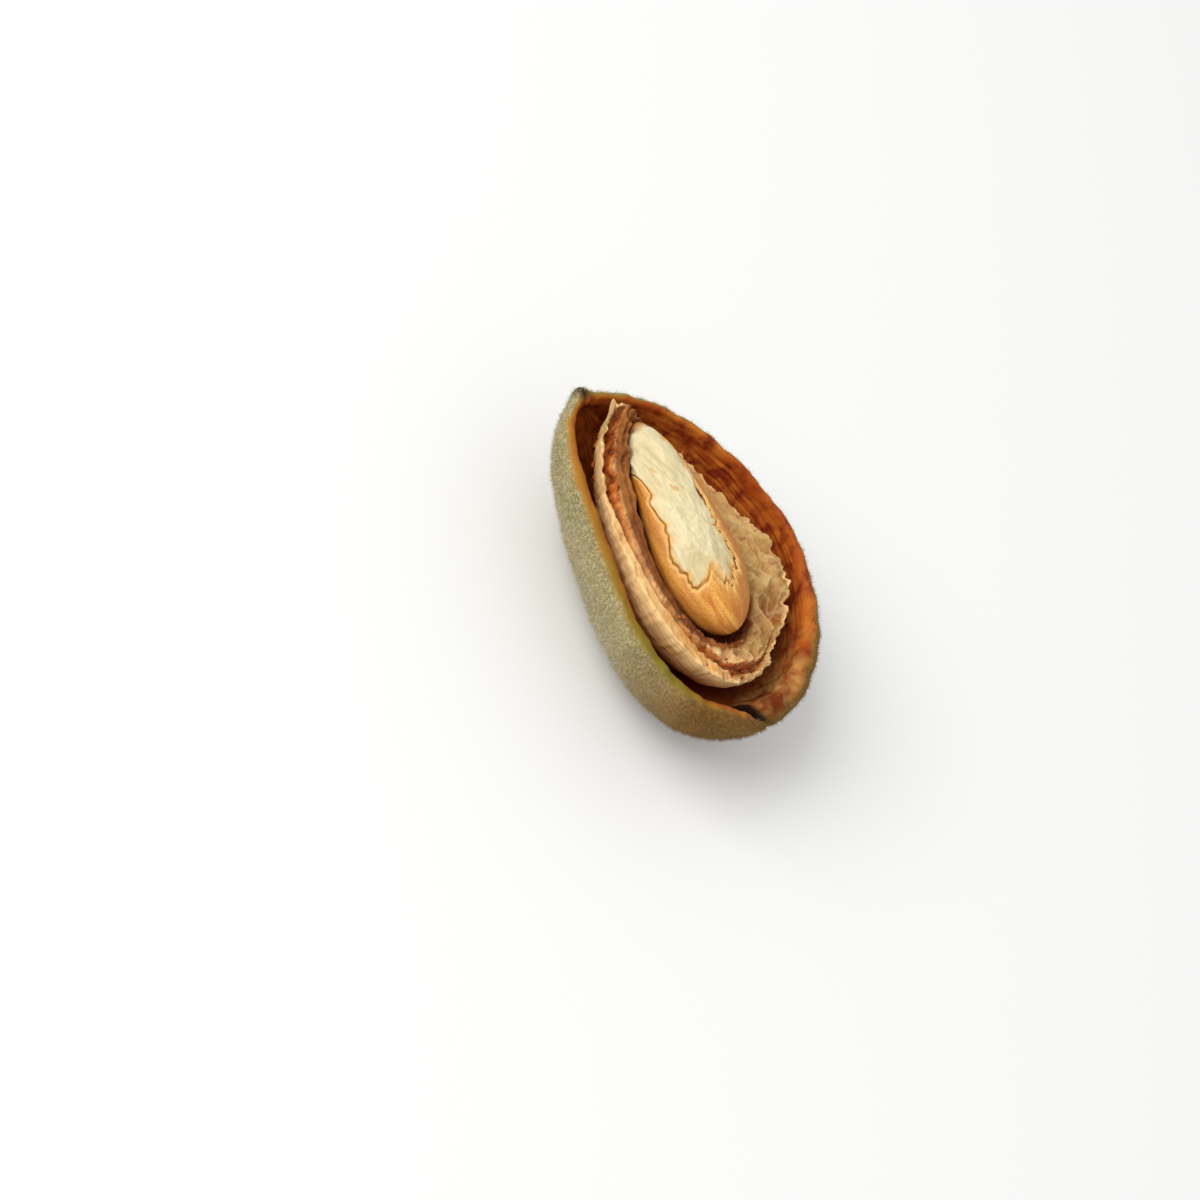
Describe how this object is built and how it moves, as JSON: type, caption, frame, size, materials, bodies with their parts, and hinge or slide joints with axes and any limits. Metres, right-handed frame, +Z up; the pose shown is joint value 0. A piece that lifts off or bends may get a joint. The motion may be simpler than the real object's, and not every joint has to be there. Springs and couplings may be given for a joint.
{
  "type": "almond in husk",
  "caption": "Open almond fruit: half of a split leathery husk lying on its back, holding a broken half shell with the kernel in it.",
  "frame": {"origin": "centre of the outline seen from above, at floor level, under the small flat on the husk's back", "axes": "+Z up, out of the husk's open face; +Y along the fruit, from the torn stem end to the pointed tip; +X to the right, seen from above with the tip away"},
  "size_m": [0.0286, 0.0418, 0.0161],
  "materials": {
    "husk": "matte",
    "shell": "matte",
    "kernel": "satin",
    "kernel_skin": "matte"
  },
  "bodies": {
    "root": {"husk": "husk", "shell": "shell", "kernel": "kernel", "kernel_skin": "kernel_skin"}
  },
  "joints": []
}
